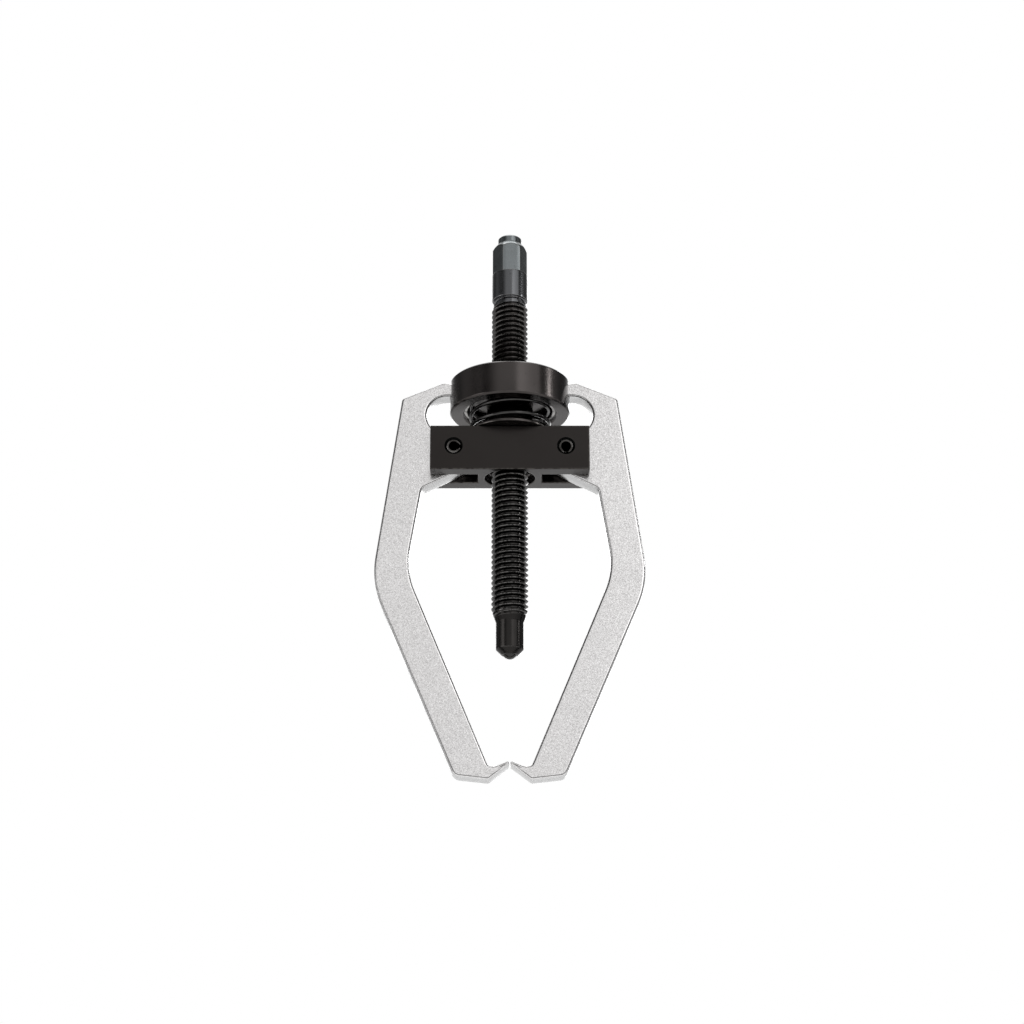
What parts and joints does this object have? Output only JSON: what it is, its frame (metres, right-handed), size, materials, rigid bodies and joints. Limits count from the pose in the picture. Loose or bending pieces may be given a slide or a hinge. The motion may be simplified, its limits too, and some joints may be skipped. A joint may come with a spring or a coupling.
{
  "type": "two-leg gear puller",
  "caption": "Two-leg gear puller with hooked forged legs, a slotted crosshead, a sprung closing ring and a threaded spindle with a hexagon drive.",
  "frame": {"origin": "on the spindle's axis at the underside of the closed jaws", "axes": "+Z along the spindle towards its hexagon, +X towards the right leg, +Y away from the viewer"},
  "size_m": [0.0862, 0.039, 0.1861],
  "materials": {
    "chromed_forging": "satin chrome over a fine forged grain",
    "black_steel": "black oxide, half gloss",
    "spring_steel": "dark oiled steel",
    "oiled_steel": "dark oiled spring wire and hardened ball, glossy"
  },
  "bodies": {
    "crosshead": {"crosshead": "black_steel", "threaded_bush": "black_steel", "left_pivot_pin": "spring_steel", "right_pivot_pin": "spring_steel", "spring_washer": "black_steel", "ring_spring": "oiled_steel"},
    "left_leg": {"left_leg": "chromed_forging"},
    "right_leg": {"right_leg": "chromed_forging"},
    "ring": {"closing_ring": "black_steel", "spring_retaining_ring": "spring_steel"},
    "point": {"pressure_ball": "oiled_steel"},
    "screw": {"spindle": "black_steel"}
  },
  "joints": [
    {"name": "left_leg_swing", "type": "hinge", "parent": "crosshead", "child": "left_leg", "pos_m": [-0.01805, 0, 0.108], "axis": [0, 1, 0], "range_deg": [0, 25]},
    {"name": "right_leg_swing", "type": "hinge", "parent": "crosshead", "child": "right_leg", "pos_m": [0.01805, 0, 0.108], "axis": [0, -1, 0], "range_deg": [0, 25]},
    {"name": "ring_slide", "type": "slide", "parent": "crosshead", "child": "ring", "axis": [0, 0, -1], "range_m": [0, 0.0031], "stiffness_N_per_m": 1500, "springref_m": -0.004, "deforming": ["ring_spring"]},
    {"name": "spindle_feed", "type": "slide", "parent": "crosshead", "child": "point", "axis": [0, 0, 1], "range_m": [-0.02275, 0.04375]},
    {"name": "spindle_turn", "type": "hinge", "parent": "point", "child": "screw", "pos_m": [0, 0, 0.1], "axis": [0, 0, 1], "range_deg": [-4681, 9001]}
  ],
  "couplings": [
    {"joint": "right_leg_swing", "follows": "left_leg_swing", "ratio": 1},
    {"joint": "ring_slide", "follows": "left_leg_swing", "m_per_rad": 0.006875},
    {"joint": "spindle_turn", "follows": "spindle_feed", "rad_per_m": 3590.4}
  ]
}
